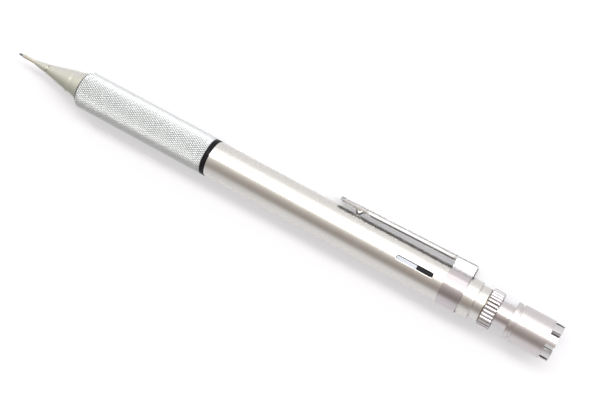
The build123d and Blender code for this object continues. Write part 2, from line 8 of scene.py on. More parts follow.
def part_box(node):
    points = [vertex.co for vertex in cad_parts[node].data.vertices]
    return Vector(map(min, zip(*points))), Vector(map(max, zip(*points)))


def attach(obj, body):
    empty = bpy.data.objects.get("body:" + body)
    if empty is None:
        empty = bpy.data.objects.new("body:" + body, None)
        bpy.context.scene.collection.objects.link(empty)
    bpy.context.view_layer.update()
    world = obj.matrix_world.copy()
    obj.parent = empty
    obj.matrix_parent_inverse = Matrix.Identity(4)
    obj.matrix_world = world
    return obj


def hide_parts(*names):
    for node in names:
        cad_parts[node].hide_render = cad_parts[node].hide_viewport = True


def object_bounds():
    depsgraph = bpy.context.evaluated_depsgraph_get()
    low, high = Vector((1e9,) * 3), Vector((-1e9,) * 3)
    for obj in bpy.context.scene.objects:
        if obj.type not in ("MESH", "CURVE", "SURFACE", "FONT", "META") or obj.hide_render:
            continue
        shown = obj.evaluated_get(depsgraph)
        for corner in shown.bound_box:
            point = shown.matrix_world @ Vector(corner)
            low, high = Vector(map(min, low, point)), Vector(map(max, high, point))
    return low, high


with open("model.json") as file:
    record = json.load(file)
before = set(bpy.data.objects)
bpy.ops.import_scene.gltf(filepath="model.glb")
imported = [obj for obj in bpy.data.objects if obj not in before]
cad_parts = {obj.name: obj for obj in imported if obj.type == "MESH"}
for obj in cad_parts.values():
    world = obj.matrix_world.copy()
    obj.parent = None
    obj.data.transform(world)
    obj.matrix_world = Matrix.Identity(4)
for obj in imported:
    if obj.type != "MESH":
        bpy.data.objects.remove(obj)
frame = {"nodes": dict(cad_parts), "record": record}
cad_low, cad_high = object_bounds()

# A drafting lead holder that lies on a white table. Metres; X runs along the axis from the lead
# sleeve's mouth to the cap, +Z is up. Angles round the axis are measured from +Y towards +Z.

MM = 0.001
AROUND = 192
CLIP_ANGLE = radians(-27.89)
WINDOW_ANGLE = CLIP_ANGLE + pi / 2


# ---- Reading the frame ----


def reach(node):
    """Front x, rear x and outer radius of a turned CAD node."""
    low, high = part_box(node)
    return low.x, high.x, max(high.y, high.z)


def polar(x, radius, angle):
    """The point at x, at a radius and an angle round the axis."""
    return (x, radius * cos(angle), radius * sin(angle))


# ---- Making meshes ----


def make_piece(name, verts, faces, material, body, nodes, slot):
    """One closed piece that rides a body and stands for CAD nodes."""
    mesh = bpy.data.meshes.new(name)
    mesh.from_pydata(verts, [], faces)
    mesh.validate()
    mesh.materials.append(material)
    piece = bpy.data.objects.new(name, mesh)
    bpy.context.scene.collection.objects.link(piece)
    shade(piece)
    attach(piece, body)
    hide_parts(*nodes)
    return piece


def shade(piece, sharp=radians(32)):
    """Smooth shading that keeps edges sharper than the given angle."""
    for polygon in piece.data.polygons:
        polygon.use_smooth = True
    piece.data.set_sharp_from_angle(angle=sharp)
    weighted = piece.modifiers.new("normals", "WEIGHTED_NORMAL")
    weighted.keep_sharp = True


def soften(piece, width, segments=2, angle=radians(35)):
    """Rounds a piece's sharp edges."""
    bevel = piece.modifiers.new("edges", "BEVEL")
    bevel.width = width
    bevel.segments = segments
    bevel.limit_method = "ANGLE"
    bevel.angle_limit = angle
    bevel.harden_normals = True
    while piece.modifiers[0] != bevel:
        piece.modifiers.move(piece.modifiers.find("edges"), 0)


def rounded(corners, steps=4):
    """A closed outline whose corners are arcs. A corner is (x, radius) or (x, radius, rounding)."""
    outline = []
    for index, corner in enumerate(corners):
        here = Vector(corner[:2])
        size = corner[2] if len(corner) > 2 else 0
        if not size:
            outline.append(tuple(here))
            continue
        to_last = Vector(corners[index - 1][:2]) - here
        to_next = Vector(corners[(index + 1) % len(corners)][:2]) - here
        cut = min(size, 0.45 * to_last.length, 0.45 * to_next.length)
        start = here + to_last.normalized() * cut
        end = here + to_next.normalized() * cut
        for step in range(steps + 1):
            t = step / steps
            outline.append(tuple((1 - t) ** 2 * start + 2 * t * (1 - t) * here + t * t * end))
    return outline


def turned(corners, around=AROUND, phase=0.0):
    """Verts and faces of a solid turned about X from a closed outline."""
    outline = rounded(corners)
    verts = []
    rings = []
    for x, radius in outline:
        if radius < 1e-9:
            rings.append([len(verts)] * around)
            verts.append((x, 0, 0))
            continue
        rings.append(list(range(len(verts), len(verts) + around)))
        verts += [polar(x, radius, phase + 2 * pi * k / around) for k in range(around)]
    faces = []
    for index, ring in enumerate(rings):
        after = rings[(index + 1) % len(rings)]
        for k in range(around):
            n = (k + 1) % around
            corners4 = [ring[k], after[k], after[n], ring[n]]
            face = [v for i, v in enumerate(corners4) if v not in corners4[:i]]
            if len(face) > 2:
                faces.append(face)
    return verts, faces


def bridge(first, second, closed=True):
    """Quads between two rows of vertex numbers of the same length."""
    count = len(first) if closed else len(first) - 1
    size = len(first)
    return [(first[k], first[(k + 1) % size], second[(k + 1) % size], second[k]) for k in range(count)]


def square_loop(columns, rows):
    """Points round the square from -1 to 1, one for each grid step, counter-clockwise."""
    loop = [(-1 + 2 * k / columns, -1) for k in range(columns)]
    loop += [(1, -1 + 2 * k / rows) for k in range(rows)]
    loop += [(1 - 2 * k / columns, 1) for k in range(columns)]
    loop += [(-1, 1 - 2 * k / rows) for k in range(rows)]
    return loop


def squircle(point, half_length, half_width, corner):
    """Moves a point of the square loop to a rounded rectangle."""
    a, b = point[0] * half_length, point[1] * half_width
    core_a = max(-(half_length - corner), min(half_length - corner, a))
    core_b = max(-(half_width - corner), min(half_width - corner, b))
    away = Vector((a - core_a, b - core_b))
    if away.length > 1e-12:
        away = away.normalized() * corner
    return core_a + away.x, core_b + away.y


# ---- Materials ----

LATHE_LINES = 9000
LATHE_TURNS = 3
LATHE_DEPTH = 0.0002 * MM
DRAWN_DEPTH = 0.0003 * MM
DRAWN_STRETCH = 120


class Nodes:
    """A material's node tree with short ways to add nodes."""

    def __init__(self, name):
        self.material = bpy.data.materials.new(name)
        self.material.use_nodes = True
        self.tree = self.material.node_tree
        self.shader = self.tree.nodes["Principled BSDF"]

    def add(self, kind, **inputs):
        node = self.tree.nodes.new(kind)
        for socket, value in inputs.items():
            self.connect(value, node.inputs[socket.replace("_", " ")])
        return node

    def connect(self, value, socket):
        if isinstance(value, bpy.types.NodeSocket):
            self.tree.links.new(value, socket)
        else:
            socket.default_value = value

    def math(self, operation, first, second=0.0):
        node = self.tree.nodes.new("ShaderNodeMath")
        node.operation = operation
        self.connect(first, node.inputs[0])
        self.connect(second, node.inputs[1])
        return node.outputs[0]

    def position(self):
        return self.add("ShaderNodeTexCoord").outputs["Object"]

    def wound(self, along, around):
        """Coordinates that run along the axis and round it, for lines that follow a lathe."""
        parts = self.add("ShaderNodeSeparateXYZ", Vector=self.position())
        angle = self.math("ARCTAN2", parts.outputs["Z"], parts.outputs["Y"])
        sine = self.math("MULTIPLY", self.math("SINE", angle), around)
        cosine = self.math("MULTIPLY", self.math("COSINE", angle), around)
        x = self.math("MULTIPLY", parts.outputs["X"], along)
        depth = self.math("MULTIPLY", self.radius(), along)
        line = self.math("ADD", x, depth)
        return self.add("ShaderNodeCombineXYZ", X=line, Y=sine, Z=cosine).outputs[0]

    def radius(self):
        """Distance from the axis."""
        parts = self.add("ShaderNodeSeparateXYZ", Vector=self.position())
        y = self.math("MULTIPLY", parts.outputs["Y"], parts.outputs["Y"])
        z = self.math("MULTIPLY", parts.outputs["Z"], parts.outputs["Z"])
        return self.math("SQRT", self.math("ADD", y, z))

    def noise(self, vector, scale, detail=2.0):
        node = self.add("ShaderNodeTexNoise", Vector=vector, Scale=scale, Detail=detail)
        return node.outputs["Fac"]

    def ranged(self, value, low, high, start=0.3, end=0.7):
        """Maps a value between start and end to low and high."""
        node = self.tree.nodes.new("ShaderNodeMapRange")
        for index, number in enumerate((value, start, end, low, high)):
            self.connect(number, node.inputs[index])
        return node.outputs["Result"]

    def mixed(self, factor, first, second):
        node = self.tree.nodes.new("ShaderNodeMix")
        node.data_type = "RGBA"
        self.connect(factor, node.inputs[0])
        self.connect((*first, 1), node.inputs[6])
        self.connect((*second, 1), node.inputs[7])
        return node.outputs[2]

    def bump(self, height, distance, strength=1.0):
        node = self.add("ShaderNodeBump", Height=height, Distance=distance, Strength=strength)
        self.connect(node.outputs[0], self.shader.inputs["Normal"])

    def set(self, **values):
        for socket, value in values.items():
            self.connect(value, self.shader.inputs[socket.replace("_", " ")])
        return self.material


def scaled(color, factor):
    return tuple(channel * factor for channel in color)


def turned_metal(name, color, roughness, spread=0.02):
    """Metal with fine lathe lines round the axis and faint cloudiness."""
    n = Nodes(name)
    lines = n.noise(n.wound(LATHE_LINES, LATHE_TURNS), 1.0, 3.0)
    clouds = n.noise(n.position(), 260.0, 4.0)
    blend = n.math("ADD", n.math("MULTIPLY", lines, 0.5), n.math("MULTIPLY", clouds, 0.5))
    n.bump(lines, LATHE_DEPTH)
    return n.set(
        Base_Color=n.mixed(n.ranged(blend, 0, 1), scaled(color, 0.96), scaled(color, 1.03)),
        Metallic=1.0,
        Roughness=n.ranged(blend, roughness - spread, roughness + spread),
    )


def drawn_metal(name, color, roughness, spread=0.04):
    """Metal with faint lines along its length, from drawing and polishing."""
    n = Nodes(name)
    scale = (DRAWN_STRETCH, LATHE_LINES, LATHE_LINES)
    stretched = n.add("ShaderNodeMapping", Vector=n.position(), Scale=scale).outputs[0]
    lines = n.noise(stretched, 1.0, 2.0)
    clouds = n.noise(n.position(), 400.0, 3.0)
    n.bump(lines, DRAWN_DEPTH)
    return n.set(
        Base_Color=n.mixed(n.ranged(clouds, 0, 1), scaled(color, 0.97), scaled(color, 1.02)),
        Metallic=1.0,
        Roughness=n.ranged(lines, roughness - spread, roughness + spread),
    )


def fine_grain(name, color, roughness, grain=4000.0, depth=0.002 * MM, **shader):
    """Plastic, rubber or graphite with a fine grain and slightly uneven gloss."""
    n = Nodes(name)
    grains = n.noise(n.position(), grain, 3.0)
    clouds = n.noise(n.position(), 350.0, 3.0)
    n.bump(grains, depth)
    return n.set(
        Base_Color=n.mixed(n.ranged(clouds, 0, 1), scaled(color, 0.94), scaled(color, 1.05)),
        Roughness=n.ranged(clouds, roughness * 0.85, roughness * 1.15),
        **shader,
    )


def recess_shaded_metal(name, outside, recess_shade, roughness, inner_r, outer_r):
    """Metal with painted shade in its recesses: its colour darkens between two radii, from the crests down
    into the recesses.
    """
    n = Nodes(name)
    outward = n.ranged(n.radius(), 0, 1, inner_r, outer_r)
    clouds = n.noise(n.position(), 400.0, 3.0)
    lines = n.noise(n.wound(LATHE_LINES, LATHE_TURNS), 1.0, 3.0)
    n.bump(lines, LATHE_DEPTH)
    return n.set(
        # Painted shade: the base colour blends from the dark shade colour below inner_r to the metal's own
        # colour above outer_r.
        Base_Color=n.mixed(outward, recess_shade, outside),
        Metallic=1.0,
        Roughness=n.ranged(clouds, roughness - 0.01, roughness + 0.02),
    )


SATIN = turned_metal("satin_metal", (0.60, 0.585, 0.56), 0.27)
# The barrel turns near black below 4.65 mm, on the walls of the window's cut: painted shade in the window.
BARREL = recess_shaded_metal(
    "satin_barrel", (0.60, 0.585, 0.56), (0.05, 0.03, 0.03), 0.27, 4.65 * MM, 4.685 * MM
)
CONE = turned_metal("satin_cone", (0.59, 0.585, 0.54), 0.28)
# The cap and push rod use a darker, pinker copy of the satin metal. The darkening is painted shade for the
# dimmer surroundings they reflect.
TAIL = turned_metal("satin_tail", (0.54, 0.51, 0.51), 0.26)
BAND = turned_metal("clip_band", (0.49, 0.46, 0.47), 0.16)
# The grip darkens to near black below 4.74 mm, deep in the knurl's grooves: painted shade in the grooves.
KNURL = recess_shaded_metal(
    "grip_aluminium", (0.57, 0.585, 0.595), (0.07, 0.08, 0.085), 0.43, 4.74 * MM, 4.80 * MM
)
# The dial darkens from 4.66 mm down to 4.56 mm, into the grooves between its flutes: painted shade in the
# grooves.
DIAL = recess_shaded_metal(
    "dial_metal", (0.58, 0.57, 0.575), (0.16, 0.13, 0.14), 0.20, 4.56 * MM, 4.66 * MM
)
# The crown darkens below 3.20 mm, on the teeth's inner faces and the recess floor: painted shade inside the
# recess.
CROWN = recess_shaded_metal(
    "crown_metal", (0.56, 0.55, 0.555), (0.17, 0.14, 0.135), 0.25, 3.15 * MM, 3.20 * MM
)
CLIP = drawn_metal("clip_steel", (0.64, 0.64, 0.65), 0.14)
SLEEVE = turned_metal("sleeve_steel", (0.56, 0.52, 0.44), 0.28)
SPRING = drawn_metal("spring_steel", (0.50, 0.50, 0.51), 0.28)
BRASS = turned_metal("inner_brass", (0.70, 0.53, 0.26), 0.28)
ALUMINIUM = turned_metal("inner_aluminium", (0.66, 0.66, 0.67), 0.34)
BLACK_GLOSS = fine_grain("black_gloss", (0.008, 0.008, 0.009), 0.28, Specular_IOR_Level=0.06)
WHITE_PLASTIC = fine_grain("white_plastic", (0.44, 0.46, 0.52), 0.42)
BLACK_PLASTIC = fine_grain("black_plastic", (0.010, 0.010, 0.012), 0.45, Specular_IOR_Level=0.1)
BLACK_RUBBER = fine_grain("black_rubber", (0.020, 0.020, 0.020), 0.75, grain=6000)
WHITE_RUBBER = fine_grain("white_rubber", (0.82, 0.82, 0.80), 0.85, depth=0.01 * MM)
GRAPHITE = fine_grain("graphite", (0.10, 0.115, 0.12), 0.38, grain=9000, Metallic=0.6)

CAD_MATERIALS = {
    "sleeve_steel": SLEEVE,
    "spring_steel": SPRING,
    "inner_brass": BRASS,
    "inner_aluminium": ALUMINIUM,
    "white_plastic": WHITE_PLASTIC,
    "black_plastic": BLACK_PLASTIC,
    "black_rubber": BLACK_RUBBER,
    "white_rubber": WHITE_RUBBER,
    "graphite": GRAPHITE,
    "satin_metal": SATIN,
    "grip_aluminium": KNURL,
    "black_gloss": BLACK_GLOSS,
    "clip_steel": CLIP,
    "dial_metal": DIAL,
    "crown_metal": CROWN,
}


def dress_cad_nodes():
    """Gives every CAD node the material of its slot."""
    for part in frame["record"]["subparts"]:
        node = frame["nodes"][part["node"]]
        node.data.materials.clear()
        node.data.materials.append(CAD_MATERIALS[part["material_slot"]])


# ---- Tip and cone ----

SLEEVE_R = 0.44 * MM
SLEEVE_BORE_R = 0.31 * MM
SLEEVE_EDGE = 0.07 * MM
SLEEVE_BORE_EDGE = 0.03 * MM
LEAD_EDGE = 0.16 * MM
LEAD_AROUND = 64
SLEEVE_AROUND = 96
TIP_FRONT_R = 0.62 * MM
TIP_EDGE = 0.09 * MM
TIP_REAR_R = 1.33 * MM
SPIGOT_R = 0.95 * MM
SHOULDER_X = 4.5 * MM
SHOULDER_R = 0.61 * MM
SHARP = 0.05 * MM
EDGE = 0.12 * MM
CONE_JOINT_EDGE = 0.14 * MM
CONE_JOINT_GAP = 0.18 * MM
CONE_FRONT_R = 1.40 * MM
FLARE_X = 15.8 * MM
FLARE_R = 3.29 * MM
COLLAR_X = 16.7 * MM
COLLAR_R = 3.345 * MM
COLLAR_EDGE = 0.08 * MM
LINER_SEAT_R = 3.30 * MM
TIP_END_X = 11.4 * MM
RETAINER_R = 1.15 * MM
RETAINER_END_X = 13.1 * MM
CHAMBER_R = 1.62 * MM
RING_STOP_X = 15.2 * MM
RING_CHAMBER_R = 2.35 * MM
REAR_BORE_X = 18.0 * MM
REAR_BORE_R = 2.75 * MM


def make_lead():
    front, rear, radius = reach("lead")
    outline = [(front, 0), (front, radius, LEAD_EDGE), (rear, radius, SHARP), (rear, 0)]
    return make_piece("lead_stick", *turned(outline, LEAD_AROUND), GRAPHITE, "clutch", ["lead"], "graphite")


def make_sleeve():
    front, rear, shoulder_r = reach("guide_sleeve")
    outline = [
        (front, SLEEVE_BORE_R, SLEEVE_BORE_EDGE),
        (front, SLEEVE_R, SLEEVE_EDGE),
        (SHOULDER_X, SLEEVE_R),
        (SHOULDER_X, shoulder_r),
        (rear, shoulder_r),
        (rear, SLEEVE_BORE_R),
    ]
    verts, faces = turned(outline, SLEEVE_AROUND)
    return make_piece("lead_sleeve", verts, faces, SLEEVE, "holder", ["guide_sleeve"], "sleeve_steel")


def make_tip():
    front, end, _ = reach("front_tip")
    cone_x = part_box("nose_cone")[0].x
    outline = [
        (front, SLEEVE_R),
        (front, TIP_FRONT_R, TIP_EDGE),
        (cone_x - CONE_JOINT_GAP, TIP_REAR_R, CONE_JOINT_EDGE),
        (cone_x - CONE_JOINT_GAP, SPIGOT_R),
        (end, SPIGOT_R),
        (end, SHOULDER_R),
        (SHOULDER_X, SHOULDER_R),
        (SHOULDER_X, SLEEVE_R),
    ]
    return make_piece("tip_cone", *turned(outline), CONE, "holder", ["front_tip"], "satin_metal")


def make_cone():
    front, rear, collar_r = reach("nose_cone")
    grip_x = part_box("knurled_grip")[0].x
    outline = [
        (front, SPIGOT_R),
        (front, CONE_FRONT_R, CONE_JOINT_EDGE),
        (FLARE_X, FLARE_R, SHARP),
        (COLLAR_X, COLLAR_R, SHARP),
        (grip_x, collar_r, COLLAR_EDGE),
        (grip_x, LINER_SEAT_R),
        (rear, LINER_SEAT_R),
        (rear, REAR_BORE_R),
        (REAR_BORE_X, REAR_BORE_R),
        (REAR_BORE_X, RING_CHAMBER_R),
        (RING_STOP_X, RING_CHAMBER_R),
        (RING_STOP_X, CHAMBER_R),
        (RETAINER_END_X, CHAMBER_R),
        (RETAINER_END_X, RETAINER_R),
        (TIP_END_X, RETAINER_R),
        (TIP_END_X, SPIGOT_R),
    ]
    return make_piece("nose", *turned(outline), CONE, "holder", ["nose_cone"], "satin_metal")


# ---- Knurled grip ----

KNURL_STARTS = 54
KNURL_PITCH = 1.0 * MM
KNURL_DEPTH = 0.12 * MM
KNURL_LEVELS = (0.80, 0.60, 0.36)
KNURL_ROUNDING = 1.5
GRIP_FRONT_CHAMFER = 0.60 * MM
GRIP_FRONT_STEP = 0.55 * MM
GRIP_REAR_CHAMFER = 0.25 * MM
GRIP_LIP = 0.04 * MM


class Knurl:
    """The lattice of truncated pyramids between two crossing families of grooves."""

    def __init__(self, front, rear, crest_r, bore_r):
        self.front = front
        self.rear = rear
        self.crest_r = crest_r
        self.bore_r = bore_r
        self.groove_r = crest_r - KNURL_DEPTH
        self.start = front + GRIP_FRONT_CHAMFER
        self.end = rear - GRIP_REAR_CHAMFER
        self.rows = 2 * int((self.end - self.start) / KNURL_PITCH)
        self.row_step = (self.end - self.start) / self.rows
        self.step = 2 * pi / KNURL_STARTS
        self.verts = []
        self.faces = []

    def add(self, x, radius, angle):
        self.verts.append(polar(x, radius, angle))
        return len(self.verts) - 1

    def groove_angle(self, row, index):
        return self.step * (index + (row % 2) / 2)

    def build(self):
        grooves = [self.groove_row(row) for row in range(self.rows + 1)]
        edges = {0: [], self.rows: []}
        for row in range(self.rows + 1):
            for index in range(KNURL_STARTS):
                loops = self.diamond(row, index, grooves)
                if row in edges:
                    edges[row].append(loops)
        rims = {row: self.rim(row, grooves[row], loops) for row, loops in edges.items()}
        self.close(rims[0], rims[self.rows])
        return self.verts, self.faces

    def groove_row(self, row):
        x = self.groove_x(row)
        return [self.add(x, self.groove_r, self.groove_angle(row, k)) for k in range(KNURL_STARTS)]

    def groove_x(self, row):
        """Grooves run out a little further than the crests on the chamfers."""
        x = self.start + row * self.row_step
        if row == 0:
            x -= KNURL_DEPTH * GRIP_FRONT_CHAMFER / GRIP_FRONT_STEP
        if row == self.rows:
            x += KNURL_DEPTH
        return x

    def diamond(self, row, index, grooves):
        """Side, edge and crest faces of one diamond, or of half of one at the two ends."""
        shift = row % 2
        left = index
        right = (index + 1) % KNURL_STARTS
        across = (index + shift) % KNURL_STARTS
        centre_angle = self.step * (index + shift / 2 + 0.5)
        centre_x = self.start + row * self.row_step
        corners = [(0, -1, grooves[row][left])]
        if row > 0:
            corners.append((-1, 0, grooves[row - 1][across]))
        corners.append((0, 1, grooves[row][right]))
        if row < self.rows:
            corners.append((1, 0, grooves[row + 1][across]))
        whole = 0 < row < self.rows
        if row == 0:
            corners = [corners[1], corners[2], corners[0]]
        loops = []
        for share in KNURL_LEVELS:
            radius = self.level_r(share)
            loops.append([
                self.add(
                    centre_x + share * dx * self.row_step,
                    radius,
                    centre_angle + share * dy * self.step / 2,
                )
                for dx, dy, _ in corners
            ])
        base = [corner[2] for corner in corners]
        for outer, inner in zip([base, *loops], loops):
            self.faces += bridge(outer, inner, closed=whole)
        self.faces.append(loops[-1])
        return loops

    def level_r(self, share):
        """Radius of a rounded pyramid at a share of the way from its crest to its grooves."""
        drop = share ** KNURL_ROUNDING - KNURL_LEVELS[-1] ** KNURL_ROUNDING
        return self.crest_r - KNURL_DEPTH * drop

    def rim(self, row, grooves, diamonds):
        """The zigzag boundary at one end, as vertex numbers in order round the axis."""
        rim = []
        for groove, loops in zip(grooves, diamonds):
            left, right = (2, 0) if row == 0 else (0, 2)
            rim.append(groove)
            rim += [loop[left] for loop in loops]
            rim += [loop[right] for loop in reversed(loops)]
        return rim

    def close(self, front_rim, rear_rim):
        """The chamfers, the end faces and the bore."""
        angles = [atan2(self.verts[v][2], self.verts[v][1]) for v in front_rim]
        rings = [front_rim]
        for x, radius in (
            (self.front + GRIP_LIP, self.crest_r - GRIP_FRONT_STEP + GRIP_LIP),
            (self.front, self.crest_r - GRIP_FRONT_STEP),
            (self.front, self.bore_r),
            (self.rear, self.bore_r),
            (self.rear, self.crest_r - GRIP_REAR_CHAMFER),
        ):
            rings.append([self.add(x, radius, angle) for angle in angles])
        rings.append(rear_rim)
        for first, second in zip(rings, rings[1:]):
            self.faces += bridge(second, first)


def make_grip():
    front, rear, radius = reach("knurled_grip")
    bore_r = reach("grip_liner")[2]
    verts, faces = Knurl(front, rear, radius, bore_r).build()
    return make_piece("grip", verts, faces, KNURL, "holder", ["knurled_grip"], "grip_aluminium")


def make_joint_ring():
    front, rear, radius = reach("joint_ring")
    bore_r = reach("grip_liner")[2]
    outline = [(front, bore_r), (front, radius, EDGE), (rear, radius, EDGE), (rear, bore_r)]
    return make_piece("ring", *turned(outline), BLACK_GLOSS, "holder", ["joint_ring"], "black_gloss")


# ---- Barrel with its window ----

WINDOW_X = 110.75 * MM
WINDOW_END_X = 120.4 * MM
WINDOW_WIDTH = 1.2 * MM
WINDOW_CORNER = 0.25 * MM
WINDOW_EDGE = 0.05 * MM
WINDOW_COLUMNS = 40
WINDOW_ROWS = 16
WINDOW_MARGIN = 1.0 * MM
BARREL_BORE_R = 4.05 * MM


class Barrel:
    """A tube whose grid opens into the window's rounded slot."""

    def __init__(self, front, rear, radius, bore_r):
        self.front = front
        self.rear = rear
        self.radius = radius
        self.bore_r = bore_r
        self.verts = []
        self.faces = []
        self.middle_x = (WINDOW_X + WINDOW_END_X) / 2
        self.half_patch = (WINDOW_END_X - WINDOW_X) / 2 + WINDOW_MARGIN

    def ring(self, x, radius):
        first = len(self.verts)
        phase = WINDOW_ANGLE - WINDOW_ROWS / 2 * 2 * pi / AROUND
        self.verts += [polar(x, radius, phase + 2 * pi * k / AROUND) for k in range(AROUND)]
        return list(range(first, first + AROUND))

    def wall(self, radius, outward):
        """A cylinder without the patch round the window: its end rings and the patch's border."""
        step = 2 * self.half_patch / WINDOW_COLUMNS
        patch_x = [self.middle_x - self.half_patch + k * step for k in range(WINDOW_COLUMNS + 1)]
        inset = EDGE if outward else 0
        stations = [self.front + inset, *patch_x, self.rear - inset]
        rings = [self.ring(x, radius) for x in stations]
        for index, (first, second) in enumerate(zip(rings, rings[1:])):
            in_patch = 1 <= index <= WINDOW_COLUMNS
            quads = bridge(second, first) if outward else bridge(first, second)
            self.faces += quads[WINDOW_ROWS:] if in_patch else quads
        patch = rings[1:-1]
        border = [ring[0] for ring in patch[:-1]]
        border += patch[-1][:WINDOW_ROWS]
        border += [ring[WINDOW_ROWS] for ring in reversed(patch[1:])]
        border += [patch[0][k] for k in range(WINDOW_ROWS, 0, -1)]
        return rings[0], rings[-1], border

    def slot_loop(self, radius, grow):
        """The window's rounded outline on a cylinder, grown by a margin."""
        loop = []
        for point in square_loop(WINDOW_COLUMNS, WINDOW_ROWS):
            x, across = squircle(
                point,
                (WINDOW_END_X - WINDOW_X) / 2 + grow,
                WINDOW_WIDTH / 2 + grow,
                WINDOW_CORNER + grow,
            )
            loop.append(len(self.verts))
            self.verts.append(polar(self.middle_x + x, radius, WINDOW_ANGLE + asin(across / radius)))
        return loop

    def build(self):
        front, rear, border = self.wall(self.radius, True)
        front_in, rear_in, border_in = self.wall(self.bore_r, False)
        loops = [border]
        loops.append(self.slot_loop(self.radius, WINDOW_EDGE * 3))
        loops.append(self.slot_loop(self.radius, WINDOW_EDGE))
        loops.append(self.slot_loop(self.radius - WINDOW_EDGE * 0.3, WINDOW_EDGE * 0.3))
        loops.append(self.slot_loop(self.radius - WINDOW_EDGE, 0))
        loops.append(self.slot_loop(self.bore_r, 0))
        loops.append(border_in)
        for first, second in zip(loops, loops[1:]):
            self.faces += bridge(first, second)
        chamfers = [self.ring(self.front, self.radius - EDGE), self.ring(self.rear, self.radius - EDGE)]
        self.faces += bridge(front, chamfers[0])
        self.faces += bridge(chamfers[0], front_in)
        self.faces += bridge(chamfers[1], rear)
        self.faces += bridge(rear_in, chamfers[1])
        return self.verts, self.faces


def make_barrel():
    front, rear, radius = reach("barrel")
    verts, faces = Barrel(front, rear, radius, BARREL_BORE_R).build()
    return make_piece("barrel_tube", verts, faces, BARREL, "holder", ["barrel"], "satin_metal")


NECK_GAP = 0.24 * MM
NECK_SEAT_R = 3.85 * MM
NECK_SEAT_DEPTH = 2.0 * MM
NECK_BORE_R = 3.45 * MM
NECK_EDGE = 0.14 * MM
COLLAR_GROOVE_R = 4.40 * MM
COLLAR_GROOVE_LEAD = 0.30 * MM
COLLAR_GROOVE_TAIL = 0.19 * MM


def make_collar():
    front, rear, radius = reach("rear_collar")
    band_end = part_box("pocket_clip")[1].x
    outline = [
        (front, NECK_BORE_R),
        (front, BARREL_BORE_R),
        (band_end - COLLAR_GROOVE_LEAD, BARREL_BORE_R),
        (band_end - COLLAR_GROOVE_LEAD, COLLAR_GROOVE_R),
        (band_end + COLLAR_GROOVE_TAIL, COLLAR_GROOVE_R),
        (band_end + COLLAR_GROOVE_TAIL, radius, SHARP),
        (rear, radius, EDGE),
        (rear, NECK_SEAT_R),
        (rear - NECK_SEAT_DEPTH, NECK_SEAT_R),
        (rear - NECK_SEAT_DEPTH, NECK_BORE_R),
    ]
    return make_piece("end_collar", *turned(outline), SATIN, "holder", ["rear_collar"], "satin_metal")


def make_neck():
    front, rear, radius = reach("neck_sleeve")
    collar_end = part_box("rear_collar")[1].x
    outline = [
        (front, NECK_BORE_R),
        (front, NECK_SEAT_R),
        (collar_end + NECK_GAP, NECK_SEAT_R),
        (collar_end + NECK_GAP, radius, SHARP),
        (rear, radius, NECK_EDGE),
        (rear, NECK_BORE_R),
    ]
    return make_piece("neck", *turned(outline), SATIN, "holder", ["neck_sleeve"], "satin_metal")


# ---- Pocket clip ----

CLIP_TIP_TOP = 6.65 * MM
CLIP_TOP = 7.25 * MM
CLIP_BOW = 0.06 * MM
CLIP_HALF_WIDTH = 1.9 * MM
CLIP_SHEET = 0.35 * MM
CLIP_FLANGE = 1.05 * MM
CLIP_TIP_FLANGE = 0.66 * MM
CLIP_FLANGE_RISE = 3.4 * MM
CLIP_BEND = 0.42 * MM
CLIP_INNER_BEND = 0.12 * MM
CLIP_NOSE = 1.0 * MM
CLIP_NOSE_NARROW = 0.32 * MM
CLIP_NOSE_BULGE = 0.22 * MM
ROOT_X = 123.1 * MM
ROOT_FILLET = 0.35 * MM
ROOT_FOOT = 4.42 * MM
DIMPLE_X = 97.2 * MM
DIMPLE_HALF_PATCH = 1.75 * MM
DIMPLE_COLUMNS = 14
# The pressed funnel as (radius, height above the axis), from the clip's flat down to its nose.
OUTER_DIMPLE = [
    (1.25 * MM, CLIP_TOP),
    (1.17 * MM, 6.93 * MM),
    (1.09 * MM, 6.80 * MM),
    (0.88 * MM, 5.95 * MM),
    (0.62 * MM, 5.50 * MM),
    (0.34 * MM, 5.14 * MM),
    (0.16 * MM, 5.07 * MM),
]
INNER_DIMPLE = [
    (1.50 * MM, CLIP_TOP),
    (1.38 * MM, 6.55 * MM),
    (1.30 * MM, 6.40 * MM),
    (1.18 * MM, 5.85 * MM),
    (0.92 * MM, 5.35 * MM),
    (0.64 * MM, 4.93 * MM),
    (0.46 * MM, 4.78 * MM),
    (0.22 * MM, 4.72 * MM),
]
FLANGE_RIM = (0.07 * MM, 0.02 * MM)
FRONT_ROWS = 5
ARM_ROWS = 26
FILLET_ROWS = 5
ROOT_ROWS = 5
NOSE_SHARES = (0, 0.2, 0.4, 0.6, 0.8, 1.0)
NOSE_CROWDING = 1.6
BAND_R = 4.93 * MM
BAND_EDGE = 0.07 * MM
LATERAL = 12
BEND_STEPS = 5


def clip_point(x, across, up):
    """A point of the clip, drawn with its arm towards +Z, turned to the clip's own direction."""
    turn = CLIP_ANGLE - pi / 2
    return (x, across * cos(turn) - up * sin(turn), across * sin(turn) + up * cos(turn))


